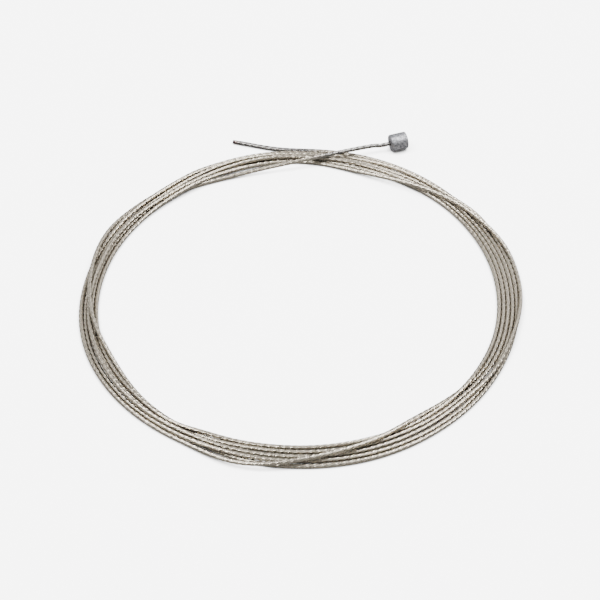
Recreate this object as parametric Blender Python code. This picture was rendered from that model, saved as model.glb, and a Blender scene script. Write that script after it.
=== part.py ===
"""Shift cable, coiled as it is kept: one stranded steel wire with a cast barrel head on one end.

The cable lies flat on z = 0. It is modelled as the outer shape of its coil, the two free tails
that leave the coil, and the head that the first tail runs into. Metres, +Z up.
"""

from math import atan2, cos, degrees, pi, radians, sin

import bmesh
import bpy
from mathutils import Vector
from mathutils.geometry import interpolate_bezier

# Sizes of the cable and its head
CABLE_DIAMETER = 0.0011
HEAD_DIAMETER = 0.0045
HEAD_LENGTH = 0.0045
HEAD_CHAMFER = 0.00025
SOCKET_DEPTH = 0.0035
SOCKET_CLEARANCE = 0.0001

# Sizes of the coil: its turns lie in two rows, the short row in the grooves of the long one
COIL_RADIUS = 0.052
LOWER_TURNS = 4
UPPER_TURNS = 2
TURN_ARC = 60.0

# Room left between pieces that touch
SEAT_GAP = 0.0003

# Free tails, as (angle round the coil, side, lift). Side -1 lies against the coil's inner flank
# and 1 against its outer flank. Lift 0 lies on the floor and 1 on top of the coil.
HEAD_TAIL_ROUTE = [
    (109.0, -1.00, 0.00),
    (105.0, -1.02, 0.18),
    (102.0, -1.08, 0.33),
    (99.6, -1.13, 0.45),
    (97.0, -1.15, 0.58),
    (94.3, -1.14, 0.74),
    (91.6, -1.06, 0.84),
    (88.9, -0.92, 0.92),
    (86.1, -0.71, 0.97),
    (83.3, -0.48, 1.00),
    (80.6, -0.17, 1.00),
    (77.9, 0.16, 0.98),
    (76.0, 0.55, 0.96),
    (74.7, 0.86, 0.93),
    (71.8, 1.50, 0.87),
    (69.2, 2.18, 0.80),
]
END_TAIL_ROUTE = [
    (90.5, 1.15, 0.00),
    (93.0, 1.14, 0.00),
    (95.2, 1.20, 0.00),
    (97.4, 1.53, 0.00),
    (99.6, 1.96, 0.00),
    (101.7, 2.43, 0.00),
    (103.7, 2.92, 0.00),
    (105.9, 3.53, 0.00),
]

# Where the head's shoulder stands, and the way the head points
HEAD_ANGLE = 65.8
HEAD_SIDE = 3.00
HEAD_HEADING = 16.5
STRAIGHT_LEAD = 0.0026

# Fineness of the meshes
COIL_STEPS = 64
HEAD_STEPS = 48
ARC_STEP = 30.0
TUBE_SPACING = 2.5

# Sizes that follow from those above
CABLE_RADIUS = CABLE_DIAMETER / 2
ROW_RISE = CABLE_DIAMETER * sin(radians(60))
HALF_WIDTH = LOWER_TURNS * CABLE_DIAMETER / 2
COIL_TOP = CABLE_DIAMETER + (ROW_RISE if UPPER_TURNS else 0)
BESIDE_COIL = HALF_WIDTH + SEAT_GAP + CABLE_RADIUS
OVER_COIL = COIL_TOP + SEAT_GAP + CABLE_RADIUS
SOCKET_RADIUS = CABLE_RADIUS + SOCKET_CLEARANCE


def clear_scene():
    for obj in list(bpy.data.objects):
        bpy.data.objects.remove(obj, do_unlink=True)


def metal(name, colour, metallic, roughness):
    material = bpy.data.materials.new(name)
    material.use_nodes = True
    shader = material.node_tree.nodes["Principled BSDF"]
    shader.inputs["Base Color"].default_value = (*colour, 1.0)
    shader.inputs["Metallic"].default_value = metallic
    shader.inputs["Roughness"].default_value = roughness
    return material


def add_object(name, data, material, frame):
    obj = bpy.data.objects.new(name, data)
    obj.data.materials.append(material)
    obj.parent = frame
    bpy.context.collection.objects.link(obj)
    return obj


def mesh_from(bm, name):
    bmesh.ops.remove_doubles(bm, verts=bm.verts, dist=1e-7)
    bmesh.ops.recalc_face_normals(bm, faces=bm.faces)
    mesh = bpy.data.meshes.new(name)
    bm.to_mesh(mesh)
    bm.free()
    mesh.shade_smooth()
    mesh.set_sharp_from_angle(angle=radians(40))
    return mesh


def turn_walk():
    """Centres of the turns, as (outward, up), in the order met on a walk round the bundle's section."""
    half = (LOWER_TURNS - 1) / 2
    first = (LOWER_TURNS - UPPER_TURNS) // 2
    lower = [((i - half) * CABLE_DIAMETER, CABLE_RADIUS) for i in range(LOWER_TURNS)]
    nested = [i + 0.5 - half for i in range(first, first + UPPER_TURNS)]
    upper = [(place * CABLE_DIAMETER, CABLE_RADIUS + ROW_RISE) for place in nested]
    outer_side = [lower[i] for i in range(LOWER_TURNS - 2, first + max(UPPER_TURNS, 1) - 1, -1)]
    inner_side = [lower[i] for i in range(first, 0, -1)]
    return lower + outer_side + upper[::-1] + inner_side


def outward_angle(here, there):
    """Direction out of the bundle, square to the step from one turn to the next, in degrees."""
    return degrees(atan2(here[0] - there[0], there[1] - here[1]))


def coil_outline():
    """Closed outline of the packed turns: a round back on every turn that shows, a groove between two."""
    walk = turn_walk()
    outline = []
    for i, centre in enumerate(walk):
        start = outward_angle(walk[i - 1], centre) - TURN_ARC
        end = outward_angle(centre, walk[(i + 1) % len(walk)]) + TURN_ARC
        while end <= start:
            end += 360
        steps = max(1, round((end - start) / ARC_STEP))
        for k in range(steps + 1):
            angle = radians(start + (end - start) * k / steps)
            outline.append((centre[0] + CABLE_RADIUS * cos(angle), centre[1] + CABLE_RADIUS * sin(angle)))
    return outline


def build_coil(material, frame):
    bm = bmesh.new()
    ring = [bm.verts.new((COIL_RADIUS + out, 0, up)) for out, up in coil_outline()]
    edges = [bm.edges.new((ring[i - 1], ring[i])) for i in range(len(ring))]
    bmesh.ops.spin(
        bm, geom=ring + edges, cent=(0, 0, 0), axis=(0, 0, 1), angle=2 * pi, steps=COIL_STEPS, use_merge=True
    )
    return add_object("coil", mesh_from(bm, "coil"), material, frame)


def place(angle, side, lift):
    """A point of a tail's route, in the coil's own frame."""
    reach = COIL_RADIUS + side * BESIDE_COIL
    height = CABLE_RADIUS + lift * (OVER_COIL - CABLE_RADIUS)
    return Vector((reach * cos(radians(angle)), reach * sin(radians(angle)), height))


def smooth_route(points, spacing):
    """Even points along a smooth curve through the given ones."""
    last = len(points) - 1
    tangents = [(points[min(i + 1, last)] - points[max(i - 1, 0)]).normalized() for i in range(last + 1)]
    dense = [points[0]]
    for i in range(last):
        third = (points[i + 1] - points[i]).length / 3
        knots = (
            points[i],
            points[i] + tangents[i] * third,
            points[i + 1] - tangents[i + 1] * third,
            points[i + 1],
        )
        dense += interpolate_bezier(*knots, 24)[1:]
    run = [0.0]
    for a, b in zip(dense, dense[1:]):
        run.append(run[-1] + (b - a).length)
    count = max(2, round(run[-1] / spacing))
    even, k = [], 0
    for i in range(count + 1):
        goal = run[-1] * i / count
        while k < len(run) - 2 and run[k + 1] < goal:
            k += 1
        share = (goal - run[k]) / (run[k + 1] - run[k])
        even.append(dense[k].lerp(dense[k + 1], share))
    return even


def build_tail(name, points, material, frame):
    curve = bpy.data.curves.new(name, "CURVE")
    curve.dimensions = "3D"
    curve.bevel_depth = CABLE_RADIUS
    curve.bevel_resolution = 2
    curve.use_fill_caps = True
    even = smooth_route(points, TUBE_SPACING * CABLE_DIAMETER)
    spline = curve.splines.new("POLY")
    spline.points.add(len(even) - 1)
    for target, point in zip(spline.points, even):
        target.co = (*point, 1.0)
    return add_object(name, curve, material, frame)


def head_place():
    """The middle of the head's shoulder, and the way the head points from there."""
    shoulder = place(HEAD_ANGLE, HEAD_SIDE, 0)
    shoulder.z = HEAD_DIAMETER / 2
    heading = radians(HEAD_HEADING)
    return shoulder, Vector((cos(heading), sin(heading), 0))


def build_head(material, frame):
    """A turned barrel with a blind socket, drawn from the shoulder at x = 0 to the far end."""
    radius = HEAD_DIAMETER / 2
    profile = [
        (SOCKET_DEPTH, 0),
        (SOCKET_DEPTH, SOCKET_RADIUS),
        (0, SOCKET_RADIUS),
        (0, radius - HEAD_CHAMFER),
        (HEAD_CHAMFER, radius),
        (HEAD_LENGTH - HEAD_CHAMFER, radius),
        (HEAD_LENGTH, radius - HEAD_CHAMFER),
        (HEAD_LENGTH, 0),
    ]
    bm = bmesh.new()
    verts = [bm.verts.new((x, 0, -r)) for x, r in profile]
    edges = [bm.edges.new(pair) for pair in zip(verts, verts[1:])]
    bmesh.ops.spin(
        bm, geom=verts + edges, cent=(0, 0, 0), axis=(1, 0, 0), angle=2 * pi, steps=HEAD_STEPS, use_merge=True
    )
    head = add_object("cable_head", mesh_from(bm, "cable_head"), material, frame)
    head.location = head_place()[0]
    head.rotation_euler = (0, 0, radians(HEAD_HEADING))
    return head


def head_tail_points():
    shoulder, heading = head_place()
    points = [place(*stop) for stop in HEAD_TAIL_ROUTE]
    points += [shoulder - heading * STRAIGHT_LEAD, shoulder, shoulder + heading * (SOCKET_DEPTH - SEAT_GAP)]
    return points


def centre_on_floor(frame, objects):
    """Move the whole cable so that the middle of its outline stands over the origin."""
    graph = bpy.context.evaluated_depsgraph_get()
    graph.update()
    corners = []
    for obj in objects:
        shape = obj.evaluated_get(graph)
        mesh = shape.to_mesh()
        corners += [shape.matrix_world @ v.co for v in mesh.vertices]
        shape.to_mesh_clear()
    low = Vector([min(c[i] for c in corners) for i in range(3)])
    high = Vector([max(c[i] for c in corners) for i in range(3)])
    middle = (low + high) / 2
    frame.location = (-middle.x, -middle.y, 0)


def build_cable():
    clear_scene()
    steel = metal("stranded_steel", (0.60, 0.57, 0.51), 1.0, 0.34)
    zinc = metal("cast_zinc", (0.46, 0.46, 0.48), 0.7, 0.5)
    frame = bpy.data.objects.new("coil_centre", None)
    bpy.context.collection.objects.link(frame)
    pieces = [
        build_coil(steel, frame),
        build_head(zinc, frame),
        build_tail("head_tail", head_tail_points(), steel, frame),
        build_tail("end_tail", [place(*stop) for stop in END_TAIL_ROUTE], steel, frame),
    ]
    centre_on_floor(frame, pieces)


build_cable()
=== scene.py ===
"""The looks of a bicycle shift cable: two metres of stranded steel wire in a loose coil, with a
cast barrel head on one end and a fused cut end on the other. Metres, +Z up, in the part's frame.
"""

from math import cos, pi, radians, sin

import bmesh
import bpy
import numpy as np
from mathutils import Matrix, Vector
from mathutils.geometry import interpolate_bezier


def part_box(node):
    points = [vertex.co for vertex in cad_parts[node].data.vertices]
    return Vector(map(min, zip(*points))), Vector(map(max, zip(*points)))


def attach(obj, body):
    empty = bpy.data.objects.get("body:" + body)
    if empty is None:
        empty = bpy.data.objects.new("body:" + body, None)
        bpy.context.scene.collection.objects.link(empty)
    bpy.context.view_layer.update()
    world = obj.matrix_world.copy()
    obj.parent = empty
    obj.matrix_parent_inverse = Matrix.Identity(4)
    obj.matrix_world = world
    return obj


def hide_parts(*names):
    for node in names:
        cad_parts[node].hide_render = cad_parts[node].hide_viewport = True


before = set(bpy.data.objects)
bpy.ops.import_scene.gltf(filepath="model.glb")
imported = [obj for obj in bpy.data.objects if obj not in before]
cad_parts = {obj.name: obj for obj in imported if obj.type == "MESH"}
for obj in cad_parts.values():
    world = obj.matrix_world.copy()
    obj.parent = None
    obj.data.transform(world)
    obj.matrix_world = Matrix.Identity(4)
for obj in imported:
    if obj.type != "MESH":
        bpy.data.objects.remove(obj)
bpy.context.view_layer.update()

# The coil's middle, on the floor. Camera, wire and head are all placed from it.
low, high = (Vector(corner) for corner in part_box("coil"))
COIL_CENTRE = Vector(((low.x + high.x) / 2, (low.y + high.y) / 2, 0))


# The camera looks down at the coil from the side that is away from both tails, at half a right
# angle, from far enough off that the near side of the coil is only a little larger than the far.
CAMERA_ELEVATION = 45.0
CAMERA_ROLL = -1.5
CAMERA_DISTANCE = 0.64
FIELD_WIDTH = 0.149
AIM = COIL_CENTRE + Vector((0.0003, 0.0007, 0))


def set_up_camera():
    tip, roll = radians(CAMERA_ELEVATION), radians(CAMERA_ROLL)
    forward = Vector((0, cos(tip), -sin(tip)))
    level = Vector((1, 0, 0))
    upward = level.cross(forward)
    right = level * cos(roll) + upward * sin(roll)
    up = right.cross(forward)
    camera = bpy.data.objects.new("camera", bpy.data.cameras.new("camera"))
    camera.matrix_world = Matrix((right, up, -forward)).transposed().to_4x4()
    camera.location = AIM - forward * CAMERA_DISTANCE
    camera.data.sensor_width = 36.0
    camera.data.lens = camera.data.sensor_width * CAMERA_DISTANCE / FIELD_WIDTH
    camera.data.clip_start = 0.01
    bpy.context.collection.objects.link(camera)
    bpy.context.scene.camera = camera


set_up_camera()


# The wire is a 1 by 19 strand of drawn stainless steel: one wire in the middle, six round it and
# twelve outside, all laid left-handed and packed like a honeycomb, so six of the outer wires stand
# out as ridges. It was wound by hand into a coil of six turns that run over and under each other.
WIRE_DIAMETER = 0.0011
WIRE_RADIUS = WIRE_DIAMETER / 2
COIL_RADIUS = 0.052
HEAD_DIAMETER = 0.0045

# The two tails, as (angle round the coil, side, lift), the same stops as the part's own.
LOWER_TURNS = 4
SEAT_GAP = 0.0003
ROW_RISE = WIRE_DIAMETER * sin(radians(60))
BESIDE_COIL = LOWER_TURNS * WIRE_RADIUS + SEAT_GAP + WIRE_RADIUS
OVER_COIL = WIRE_DIAMETER + ROW_RISE + SEAT_GAP + WIRE_RADIUS
HEAD_TAIL_ROUTE = [
    (109.0, -1.00, 0.00),
    (105.0, -1.02, 0.18),
    (102.0, -1.08, 0.33),
    (99.6, -1.13, 0.45),
    (97.0, -1.15, 0.58),
    (94.3, -1.14, 0.74),
    (91.6, -1.06, 0.84),
    (88.9, -0.92, 0.92),
    (86.1, -0.71, 0.97),
    (83.3, -0.48, 1.00),
    (80.6, -0.17, 1.00),
    (77.9, 0.16, 0.98),
    (76.0, 0.55, 0.96),
    (74.7, 0.86, 0.93),
    (71.8, 1.50, 0.87),
    (69.2, 2.18, 0.80),
]
END_TAIL_ROUTE = [
    (90.5, 1.15, 0.00),
    (93.0, 1.14, 0.00),
    (95.2, 1.20, 0.00),
    (97.4, 1.53, 0.00),
    (99.6, 1.96, 0.00),
    (101.7, 2.43, 0.00),
    (103.7, 2.92, 0.00),
    (105.9, 3.53, 0.00),
]
HEAD_ANGLE = 65.8
HEAD_SIDE = 3.00
HEAD_HEADING = 16.5
STRAIGHT_LEAD = 0.0026
HELD_LENGTH = 0.0032

# How each turn lies, from where it passes below the head tail to a whole turn later, as (angle
# round the coil, lane, row). A lane is a wire's width, counted outward from the coil's middle.
# Row 0 is on the floor, row 1 on the wires that lie there, and row 2 across the top of all.
TURNS = [
    [
        (119, -1.9, 0), (127, -0.6, 0), (143, -0.4, 0), (165, -0.7, 0), (185, -0.5, 0), (210, -0.9, 0),
        (225, -0.8, 0), (238, -0.3, 0), (245, 0.7, 0), (252, 1.7, 0), (261, 2.1, 0), (269, 2.4, 0),
        (288, 2.9, 0), (302, 2.6, 0), (320, 2.2, 0), (345, 1.7, 0), (366, 1.8, 0), (383, 1.9, 0),
        (392, 1.6, 0.3), (400, 0.8, 0.8), (410, 0.8, 1), (420, 1.1, 0.4),
    ],
    [
        (73, 2.1, 0), (87, 2.6, 0), (97, 3.0, 0), (108, 2.9, 0), (118, 1.5, 0.4), (128, 0.7, 1),
        (136, 0.8, 1), (144, 1.4, 0.5), (152, 1.6, 0), (168, 1.4, 0), (180, 1.8, 0), (198, 2.1, 0),
        (222, 1.9, 0), (238, 1.4, 0), (245, 1.8, 0.2), (252, 4.2, 0.5), (257, 3.9, 1.4), (262, 3.3, 1.9),
        (269, 1.8, 2), (278, 0.7, 2), (287, -0.5, 1.9), (294, -1.6, 1.2), (302, -2.4, 0.4), (310, -2.6, 0),
        (317, -2.4, 0), (324, -1.5, 0), (332, -1.1, 0), (366, -1.1, 0), (390, -0.7, 0), (410, -0.2, 0),
        (424, 0, 0.1),
    ],
    [
        (73, -0.4, 0.3), (80, -0.6, 0.8), (90, 0.4, 1), (97, 0.9, 1), (108, 0.1, 1), (119, -0.6, 1),
        (128, -1.6, 1), (138, -0.5, 0.8), (148, -0.2, 0.8), (163, -0.7, 1), (181, 0, 1), (208, 0.2, 0.9),
        (230, 0.1, 1), (245, -0.1, 0.7), (258, -0.6, 0), (275, -0.2, 0), (290, 0.4, 0), (305, 0.1, 0),
        (315, 0.4, 0.3), (325, 1.3, 1), (335, 1.7, 1.2), (342, 1.6, 1.6), (350, 2.2, 1.2), (358, 2.3, 0.3),
        (366, 2.4, 0), (376, 2.5, 0), (382, 2.1, 0.7), (387, 1.4, 1.4), (392, 0.8, 1.9), (403, -0.5, 2),
        (413, -2.2, 2), (418, -2.8, 1.7), (423, -2.9, 1),
    ],
    [
        (73, -2.3, 0), (80, -1.3, 0), (87, 0.1, 0), (97, -0.4, 0), (108, -0.7, 0.2), (119, -1.8, 0.9),
        (128, -1.6, 0.9), (137, -1.6, 0.2), (152, -1.6, 0), (163, -1.7, 0), (190, -1.5, 0), (207, -1.6, 0),
        (216, -1.4, 0.5), (224, -1.1, 1), (232, -0.8, 0.9), (239, -1.1, 0.4), (247, -2.6, 0), (258, -3.1, 0),
        (275, -2.8, 0), (290, -2.5, 0), (304, -2.1, 0), (311, -1.8, 0.2), (317, -1.6, 0.8), (324, -1.5, 1),
        (331, -1.5, 0.4), (338, -1.8, 0), (360, -2.1, 0), (385, -1.8, 0), (400, -1.4, 0), (414, -1.1, 0),
        (422, -1.1, 0),
    ],
    [
        (73, -0.7, 0), (80, -0.2, 0), (88, 0.5, 0), (100, 1, 0), (112, 1.4, 0), (127, 1.6, 0),
        (136, 1.9, 0), (143, 2.5, 0), (150, 2.7, 0.4), (156, 2.1, 1.2), (163, 1.1, 1.9), (173, 0.4, 2),
        (183, -0.5, 1.9), (192, -1.4, 1.4), (200, -2.3, 0.4), (208, -2.5, 0), (216, -2.2, 0), (225, -1.9, 0),
        (238, -1.7, 0), (258, -2.0, 0), (272, -1.5, 0), (290, -1, 0), (315, -1.2, 0), (325, -0.6, 0),
        (332, -0.2, 0), (365, -0.2, 0), (385, 0.1, 0), (405, 0.7, 0), (422, 0.9, 0),
    ],
    [
        (73, 1.3, 0), (85, 1.5, 0.2), (97, 1.3, 0.8), (108, 1.4, 1), (119, 0.6, 1), (128, 0.2, 0.7),
        (142, 0.9, 0), (162, 0.4, 0), (180, 0.7, 0), (198, 1.1, 0), (222, 0.8, 0), (232, 0.9, 0.3),
        (240, 1, 0.8), (252, 1.4, 0.9), (262, 1.4, 0.7), (270, 1.2, 0.3), (288, 1.6, 0), (295, 1.6, 0),
        (310, 1.4, 0), (320, 1.2, 0), (332, 0.9, 0), (360, 0.7, 0), (383, 1, 0), (398, 1.6, 0), (407, 2, 0),
        (415, 2.5, 0), (422, 2.8, 0), (433, 3.2, 0), (442, 3.3, 0),
    ],
]
STATION = 3.0
STATIONS_A_TURN = round(360 / STATION)

# How the turns settle: the pull toward their stops, firm at first and light at the end, the wire's
# own stiffness, and how much a wire that touches several others gives way to each of them.
SETTLING_ROUNDS = 600
LIGHT_FROM_ROUND = 480
FIRM_PULL = 0.06
LIGHT_PULL = 0.02
STRAIGHTENING = 0.02
STIFFNESS = 0.32
CONTACT_PASSES = 2
GIVING_WAY = 0.6
CURVE_STEPS = 16

# The strand's own form. A sixth of its outline, as (angle, reach, depth in the groove), runs over
# a wire on the honeycomb's corner and the next one on its flat side, with a groove beyond each.
RINGS = 2400
LAY_LENGTH = 0.0105
# The depth column also sets how much painted shade, with grease, darkens the steel at each point.
STRAND_SIXTH = [
    (-6.0, 0.000549, 0.00),
    (6.0, 0.000549, 0.00),
    (15.0, 0.000445, 1.00),
    (24.0, 0.000505, 0.35),
    (36.0, 0.000505, 0.35),
    (45.0, 0.000445, 1.00),
]

# The cut end's taper, and how far along the wire the fusing heat and the tails' painted darker grey reach.
TIP_TAPER = 0.0022
TIP_RADIUS = 0.00047
HEAT_REACH = 0.0022
TAIL_REACH = 0.026
TAIL_FADE = 0.006

# How near another turn has to be to cast the painted shade between turns, and how narrow that painted shade
# is.
SHADE_REACH = 0.0011
SHADE_NARROWNESS = 6

# What darkens the bright steel, as (mask, share, colour): painted shade, with neutral grease, in the
# strand's grooves; brown painted shade between two turns; a painted darker grey on the wire's two ends,
# which stand clear of the coil, for their duller reflections; and the oxide that the fusing heat left
# on the cut end.
WIRE_SHADES = [
    ("groove", 0.78, (0.024, 0.023, 0.021)),
    ("between", 0.84, (0.034, 0.026, 0.017)),
    ("loose", 0.82, (0.15, 0.15, 0.155)),
    ("heated", 0.9, (0.075, 0.028, 0.018)),
]


def tail_stops(route):
    """A tail's stops as (winding angle, metres outward of the coil's middle, height)."""
    stops = []
    for angle, side, lift in route:
        stops.append((angle, side * BESIDE_COIL, WIRE_RADIUS + lift * (OVER_COIL - WIRE_RADIUS)))
    return stops


def winding_stops():
    """Every stop of the wire, from the head tail to the cut end, in the order of the winding."""
    stops = tail_stops(HEAD_TAIL_ROUTE[::-1])
    for turn, lanes in enumerate(TURNS):
        for angle, lane, row in lanes:
            stops.append((angle + 360 * turn, lane * WIRE_DIAMETER, WIRE_RADIUS + row * ROW_RISE))
    for angle, side, height in tail_stops(END_TAIL_ROUTE):
        stops.append((angle + 360 * len(TURNS), side, height))
    return np.array(stops)


def bending(shape):
    """How far each point stands off the straight line between its neighbours."""
    off = np.zeros_like(shape)
    off[1:-1] = (shape[:-2] + shape[2:]) / 2 - shape[1:-1]
    return off


def settle(wanted):
    """Let the turns come to rest on the floor and on each other, a wire's width apart."""
    wire = wanted.copy()
    count = len(wire)
    lags = range(STATIONS_A_TURN, count, STATIONS_A_TURN)
    arc = COIL_RADIUS * radians(STATION)
    for round_number in range(SETTLING_ROUNDS):
        pull = FIRM_PULL if round_number < LIGHT_FROM_ROUND else LIGHT_PULL
        wire += pull * (wanted - wire)
        first = bending(wire)
        wire += STRAIGHTENING * first - STIFFNESS * bending(first)
        slope = np.gradient(wire[:, 0]) / arc
        for _ in range(CONTACT_PASSES):
            move = np.zeros_like(wire)
            touches = np.zeros(count)
            for lag in lags:
                apart = wire[lag:] - wire[:-lag]
                crossing = slope[lag:] - slope[:-lag]
                distance = np.maximum(np.hypot(apart[:, 0], apart[:, 1]), 1e-9)
                push = np.maximum(WIRE_DIAMETER * np.sqrt(1 + crossing**2) - distance, 0) / 2
                step = apart / distance[:, None] * push[:, None]
                move[:-lag] -= step
                move[lag:] += step
                touches[:-lag] += push > 0
                touches[lag:] += push > 0
            wire += move / np.maximum(1, GIVING_WAY * touches)[:, None]
            wire[:, 1] = np.maximum(wire[:, 1], WIRE_RADIUS)
    return wire


def even_points(points, count):
    """Even points along a smooth curve through the given ones."""
    last = len(points) - 1
    tangents = [(points[min(i + 1, last)] - points[max(i - 1, 0)]).normalized() for i in range(last + 1)]
    dense = [points[0]]
    for i in range(last):
        third = (points[i + 1] - points[i]).length / 3
        ahead, back = points[i] + tangents[i] * third, points[i + 1] - tangents[i + 1] * third
        dense += interpolate_bezier(points[i], ahead, back, points[i + 1], CURVE_STEPS)[1:]
    dense = np.array([tuple(p) for p in dense])
    run = np.concatenate([[0], np.cumsum(np.linalg.norm(np.diff(dense, axis=0), axis=1))])
    goals = np.linspace(0, run[-1], count)
    return np.stack([np.interp(goals, run, dense[:, i]) for i in range(3)], axis=1), goals


def lay_the_wire():
    """The wire's middle line, from its end inside the head to the cut end."""
    stops = winding_stops()
    angles = np.arange(stops[0, 0], stops[-1, 0] + STATION / 2, STATION)
    wanted = np.stack([np.interp(angles, stops[:, 0], stops[:, i]) for i in (1, 2)], axis=1)
    wanted[2:-2] = (wanted[:-4] + 2 * wanted[1:-3] + 3 * wanted[2:-2] + 2 * wanted[3:-1] + wanted[4:]) / 9
    wire = settle(wanted)
    reach = COIL_RADIUS + wire[:, 0]
    turned = np.radians(angles)
    coil = np.stack([reach * np.cos(turned), reach * np.sin(turned), wire[:, 1]], axis=1)
    coil = [COIL_CENTRE + Vector(p) for p in coil]
    bearing = radians(HEAD_ANGLE)
    shoulder = COIL_CENTRE + (COIL_RADIUS + HEAD_SIDE * BESIDE_COIL) * Vector((cos(bearing), sin(bearing), 0))
    shoulder.z = HEAD_DIAMETER / 2
    heading = Vector((cos(radians(HEAD_HEADING)), sin(radians(HEAD_HEADING)), 0))
    lead = [shoulder + heading * HELD_LENGTH, shoulder, shoulder - heading * STRAIGHT_LEAD]
    line, run = even_points(lead + coil, RINGS)
    return line, run, shoulder


wire_line, wire_run, shoulder = lay_the_wire()


def neighbour_shade(line, places, outward):
    """How deep each point of the surface lies between the wire's own turns, from 0 to 1: the mask of the
    painted shade between turns.
    """
    turned = np.unwrap(np.arctan2(line[:, 1] - COIL_CENTRE.y, line[:, 0] - COIL_CENTRE.x))
    shade = np.zeros(len(places))
    for lag in range(-len(TURNS), len(TURNS) + 1):
        goal = turned + lag * 2 * pi
        valid = (goal > turned[0]) & (goal < turned[-1]) & (lag != 0)
        other = np.stack([np.interp(goal, turned, line[:, i]) for i in range(3)], axis=1)
        apart = other - line
        distance = np.linalg.norm(apart, axis=1)
        near = np.clip((SHADE_REACH + WIRE_DIAMETER - distance) / SHADE_REACH, 0, 1) * valid
        toward = apart / np.maximum(distance, 1e-9)[:, None]
        facing = np.clip((toward[places] * outward).sum(axis=1), 0, 1)
        shade = np.maximum(shade, near[places] * facing**SHADE_NARROWNESS)
    return shade


def roll_strand(line, run):
    """Roll a flat sheet into the strand's grooved skin, laid along the wire's middle line."""
    outline = []
    for sixth in range(6):
        outline += [(sixth * 60 + angle, reach, depth) for angle, reach, depth in STRAND_SIXTH]
    around, reaches, depths = np.array(outline + [(360 + outline[0][0], *outline[0][1:])]).T
    bm = bmesh.new()
    bmesh.ops.create_grid(bm, x_segments=len(around) - 1, y_segments=len(line) - 1, size=0.5)
    mesh = bpy.data.meshes.new("stranded_wire")
    bm.to_mesh(mesh)
    bm.free()
    sheet = np.empty(len(mesh.vertices) * 3)
    mesh.vertices.foreach_get("co", sheet)
    sheet = sheet.reshape(-1, 3)
    columns = np.rint((sheet[:, 0] + 0.5) * (len(around) - 1)).astype(int)
    places = np.rint((sheet[:, 1] + 0.5) * (len(line) - 1)).astype(int)

    ahead = np.gradient(line, axis=0)
    ahead /= np.linalg.norm(ahead, axis=1)[:, None]
    side = np.cross((0, 0, 1), ahead)
    side /= np.linalg.norm(side, axis=1)[:, None]
    over = np.cross(ahead, side)
    angle = np.radians(around[columns]) - 2 * pi * run[places] / LAY_LENGTH
    outward = side[places] * np.cos(angle)[:, None] + over[places] * np.sin(angle)[:, None]

    to_end = run[-1] - run[places]
    melted = np.clip(1 - to_end / TIP_TAPER, 0, 1)
    melted = melted**2 * (3 - 2 * melted)
    reach = reaches[columns] * (1 - melted) + TIP_RADIUS * melted
    mesh.vertices.foreach_set("co", (line[places] + outward * reach[:, None]).ravel())
    # Masks for the painted shade in the grooves, with grease, and between turns, and for the painted darker
    # grey of the two ends; the heat's oxide is the cut end's own colour.
    groove = depths[columns] * (1 - melted)
    between = neighbour_shade(line, places, outward)
    heated = np.clip(1 - to_end / HEAT_REACH, 0, 1)
    loose = np.clip((TAIL_REACH - np.minimum(run[places], to_end)) / TAIL_FADE, 0, 1)
    for name, values in (("groove", groove), ("between", between), ("loose", loose), ("heated", heated)):
        mesh.attributes.new(name, "FLOAT", "POINT").data.foreach_set("value", values.astype(np.float32))
    return mesh


def weld_and_cap(mesh):
    """Close the rolled sheet along its seam, and its two ends."""
    bm = bmesh.new()
    bm.from_mesh(mesh)
    bmesh.ops.remove_doubles(bm, verts=bm.verts, dist=1e-6)
    bmesh.ops.edgeloop_fill(bm, edges=[e for e in bm.edges if e.is_boundary])
    bmesh.ops.recalc_face_normals(bm, faces=bm.faces)
    bm.to_mesh(mesh)
    bm.free()
    mesh.shade_smooth()


def steel_material():
    material = bpy.data.materials.new("stranded_steel_look")
    material.use_nodes = True
    nodes, links = material.node_tree.nodes, material.node_tree.links
    shader = nodes["Principled BSDF"]
    shader.inputs["Metallic"].default_value = 1.0
    place = nodes.new("ShaderNodeTexCoord")
    clouds = nodes.new("ShaderNodeTexNoise")
    clouds.inputs["Scale"].default_value = 60
    clouds.inputs["Detail"].default_value = 3
    links.new(place.outputs["Object"], clouds.inputs["Vector"])
    tone = nodes.new("ShaderNodeMix")
    tone.data_type = "RGBA"
    tone.inputs["A"].default_value = (0.68, 0.605, 0.485, 1)
    tone.inputs["B"].default_value = (0.58, 0.52, 0.425, 1)
    links.new(clouds.outputs["Fac"], tone.inputs["Factor"])
    base = tone.outputs["Result"]
    # Each layer mixes a darker colour in by its mask: painted shade in the grooves and between turns, painted
    # darker grey on the ends, and the oxide's own colour.
    for name, share, colour in WIRE_SHADES:
        mask = nodes.new("ShaderNodeAttribute")
        mask.attribute_name = name
        weight = nodes.new("ShaderNodeMath")
        weight.operation = "MULTIPLY"
        weight.inputs[1].default_value = share
        links.new(mask.outputs["Fac"], weight.inputs[0])
        layer = nodes.new("ShaderNodeMix")
        layer.data_type = "RGBA"
        layer.inputs["B"].default_value = (*colour, 1)
        links.new(weight.outputs[0], layer.inputs["Factor"])
        links.new(base, layer.inputs["A"])
        base = layer.outputs["Result"]
    links.new(base, shader.inputs["Base Color"])
    draw_marks = nodes.new("ShaderNodeTexNoise")
    draw_marks.inputs["Scale"].default_value = 1500
    draw_marks.inputs["Detail"].default_value = 2
    links.new(place.outputs["Object"], draw_marks.inputs["Vector"])
    gloss = nodes.new("ShaderNodeMapRange")
    gloss.inputs["To Min"].default_value = 0.22
    gloss.inputs["To Max"].default_value = 0.35
    links.new(draw_marks.outputs["Fac"], gloss.inputs["Value"])
    links.new(gloss.outputs["Result"], shader.inputs["Roughness"])
    return material


wire_mesh = roll_strand(wire_line, wire_run)
weld_and_cap(wire_mesh)
wire = bpy.data.objects.new("stranded_wire", wire_mesh)
bpy.context.collection.objects.link(wire)
wire_mesh.materials.append(steel_material())
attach(wire, "root")
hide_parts("coil", "head_tail", "end_tail")

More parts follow.
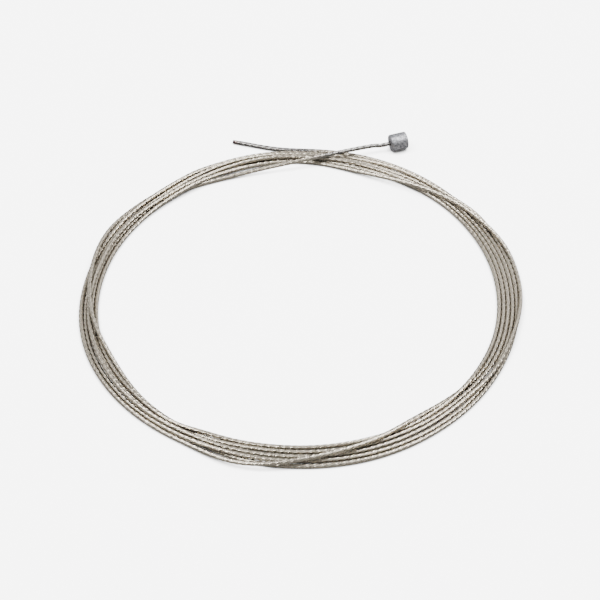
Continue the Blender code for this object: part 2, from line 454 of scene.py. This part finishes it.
# The head is a small barrel of zinc alloy, die-cast round the end of the wire. It is turned here
# from its outline, with rims rounded by the mould's wear and a low bead by its far rim, and the
# wire runs into a shallow dimple in its shoulder.
HEAD_OUTLINE = [
    (0.00055, 0.00046),
    (0.00025, 0.00056),
    (0.00008, 0.00074),
    (0.00000, 0.00098),
    (0.00000, 0.00192),
    (0.00004, 0.00206),
    (0.00014, 0.00217),
    (0.00030, 0.00223),
    (0.00050, 0.00225),
    (0.00382, 0.00225),
    (0.00388, 0.00222),
    (0.00394, 0.00225),
    (0.00412, 0.00225),
    (0.00428, 0.00221),
    (0.00440, 0.00212),
    (0.00447, 0.00200),
    (0.00450, 0.00186),
    (0.00450, 0.00090),
    (0.00444, 0.00060),
    (0.00441, 0.00000),
]
HEAD_STEPS = 96


def turned_head():
    bm = bmesh.new()
    verts = [bm.verts.new((along, 0, -out)) for along, out in HEAD_OUTLINE]
    edges = [bm.edges.new(pair) for pair in zip(verts, verts[1:])]
    bmesh.ops.spin(
        bm, geom=verts + edges, cent=(0, 0, 0), axis=(1, 0, 0), angle=2 * pi, steps=HEAD_STEPS, use_merge=True
    )
    bmesh.ops.remove_doubles(bm, verts=bm.verts, dist=1e-7)
    bmesh.ops.edgeloop_fill(bm, edges=[e for e in bm.edges if e.is_boundary])
    bmesh.ops.recalc_face_normals(bm, faces=bm.faces)
    turn = Matrix.Rotation(radians(HEAD_HEADING), 4, "Z")
    bmesh.ops.transform(bm, matrix=Matrix.Translation(shoulder) @ turn, verts=bm.verts)
    mesh = bpy.data.meshes.new("barrel_head")
    bm.to_mesh(mesh)
    bm.free()
    mesh.shade_smooth()
    return mesh


def zinc_material():
    material = bpy.data.materials.new("cast_zinc_look")
    material.use_nodes = True
    nodes, links = material.node_tree.nodes, material.node_tree.links
    shader = nodes["Principled BSDF"]
    shader.inputs["Metallic"].default_value = 0.85
    place = nodes.new("ShaderNodeTexCoord")
    mottle = nodes.new("ShaderNodeTexNoise")
    mottle.inputs["Scale"].default_value = 1900
    mottle.inputs["Detail"].default_value = 4
    mottle.inputs["Roughness"].default_value = 0.6
    links.new(place.outputs["Object"], mottle.inputs["Vector"])
    tone = nodes.new("ShaderNodeValToRGB")
    tone.color_ramp.elements[0].position = 0.34
    tone.color_ramp.elements[0].color = (0.10, 0.10, 0.11, 1)
    tone.color_ramp.elements[1].position = 0.66
    tone.color_ramp.elements[1].color = (0.46, 0.46, 0.48, 1)
    links.new(mottle.outputs["Fac"], tone.inputs["Fac"])
    links.new(tone.outputs["Color"], shader.inputs["Base Color"])
    gloss = nodes.new("ShaderNodeMapRange")
    gloss.inputs["To Min"].default_value = 0.62
    gloss.inputs["To Max"].default_value = 0.42
    links.new(mottle.outputs["Fac"], gloss.inputs["Value"])
    links.new(gloss.outputs["Result"], shader.inputs["Roughness"])
    bump = nodes.new("ShaderNodeBump")
    bump.inputs["Strength"].default_value = 0.5
    bump.inputs["Distance"].default_value = 0.00006
    links.new(mottle.outputs["Fac"], bump.inputs["Height"])
    links.new(bump.outputs["Normal"], shader.inputs["Normal"])
    return material


head_mesh = turned_head()
head_mesh.materials.append(zinc_material())
head = bpy.data.objects.new("barrel_head", head_mesh)
bpy.context.collection.objects.link(head)
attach(head, "root")
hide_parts("cable_head")


# The floor and the lights: a pale tabletop that glows for the camera, except where turns shade it,
# and that the metal mirrors as a darker one. It stands in a dim room, with two soft boxes overhead
# to the left and right, and two weaker ones behind, which the sides of the coil mirror.
FLOOR_TONE = (0.95, 0.95, 0.95, 1)
MIRRORED_TONE = (0.20, 0.20, 0.20, 1)
FLOOR_GLOW = 4.0
SHADE_DISTANCE = 0.002
HORIZON_LIGHT = 0.12
CEILING_LIGHT = 0.70


def build_floor():
    bm = bmesh.new()
    bmesh.ops.create_grid(bm, x_segments=1, y_segments=1, size=2.0)
    mesh = bpy.data.meshes.new("floor")
    bm.to_mesh(mesh)
    bm.free()
    floor = bpy.data.objects.new("floor", mesh)
    bpy.context.collection.objects.link(floor)
    material = bpy.data.materials.new("pale_floor")
    material.use_nodes = True
    nodes, links = material.node_tree.nodes, material.node_tree.links
    shader = nodes["Principled BSDF"]
    shader.inputs["Roughness"].default_value = 0.9
    shader.inputs["Emission Color"].default_value = (1, 1, 1, 1)
    ray = nodes.new("ShaderNodeLightPath")
    tone = nodes.new("ShaderNodeMix")
    tone.data_type = "RGBA"
    tone.inputs["A"].default_value = FLOOR_TONE
    tone.inputs["B"].default_value = MIRRORED_TONE
    links.new(ray.outputs["Is Glossy Ray"], tone.inputs["Factor"])
    links.new(tone.outputs["Result"], shader.inputs["Base Color"])
    openness = nodes.new("ShaderNodeAmbientOcclusion")
    openness.inputs["Distance"].default_value = SHADE_DISTANCE
    glow = nodes.new("ShaderNodeMapRange")
    glow.inputs["From Min"].default_value = 0.35
    glow.inputs["From Max"].default_value = 0.80
    glow.inputs["To Max"].default_value = FLOOR_GLOW
    links.new(openness.outputs["AO"], glow.inputs["Value"])
    seen = nodes.new("ShaderNodeMath")
    seen.operation = "MULTIPLY"
    links.new(glow.outputs["Result"], seen.inputs[0])
    links.new(ray.outputs["Is Camera Ray"], seen.inputs[1])
    links.new(seen.outputs[0], shader.inputs["Emission Strength"])
    mesh.materials.append(material)


def soft_box(name, place, size, power):
    light = bpy.data.lights.new(name, "AREA")
    light.shape = "RECTANGLE"
    light.size, light.size_y = size
    light.energy = power
    box = bpy.data.objects.new(name, light)
    box.location = place
    box.rotation_euler = (-Vector(place)).to_track_quat("-Z", "Y").to_euler()
    bpy.context.collection.objects.link(box)


def dim_room():
    """A white ceiling over a room that is dark at the level of the table."""
    world = bpy.data.worlds.new("studio")
    world.use_nodes = True
    nodes, links = world.node_tree.nodes, world.node_tree.links
    nodes["Background"].inputs["Color"].default_value = (1, 1, 1, 1)
    look = nodes.new("ShaderNodeTexCoord")
    split = nodes.new("ShaderNodeSeparateXYZ")
    climb = nodes.new("ShaderNodeMapRange")
    climb.inputs["To Min"].default_value = HORIZON_LIGHT
    climb.inputs["To Max"].default_value = CEILING_LIGHT
    links.new(look.outputs["Generated"], split.inputs[0])
    links.new(split.outputs["Z"], climb.inputs["Value"])
    links.new(climb.outputs["Result"], nodes["Background"].inputs["Strength"])
    bpy.context.scene.world = world


build_floor()
dim_room()
soft_box("left_box", (-0.42, 0.02, 0.86), (0.26, 0.38), 13.5)
soft_box("right_box", (0.42, 0.02, 0.86), (0.26, 0.38), 13.5)
soft_box("back_left", (-0.45, 0.72, 0.52), (0.40, 0.30), 1.5)
soft_box("back_right", (0.50, 0.66, 0.55), (0.40, 0.30), 2.4)
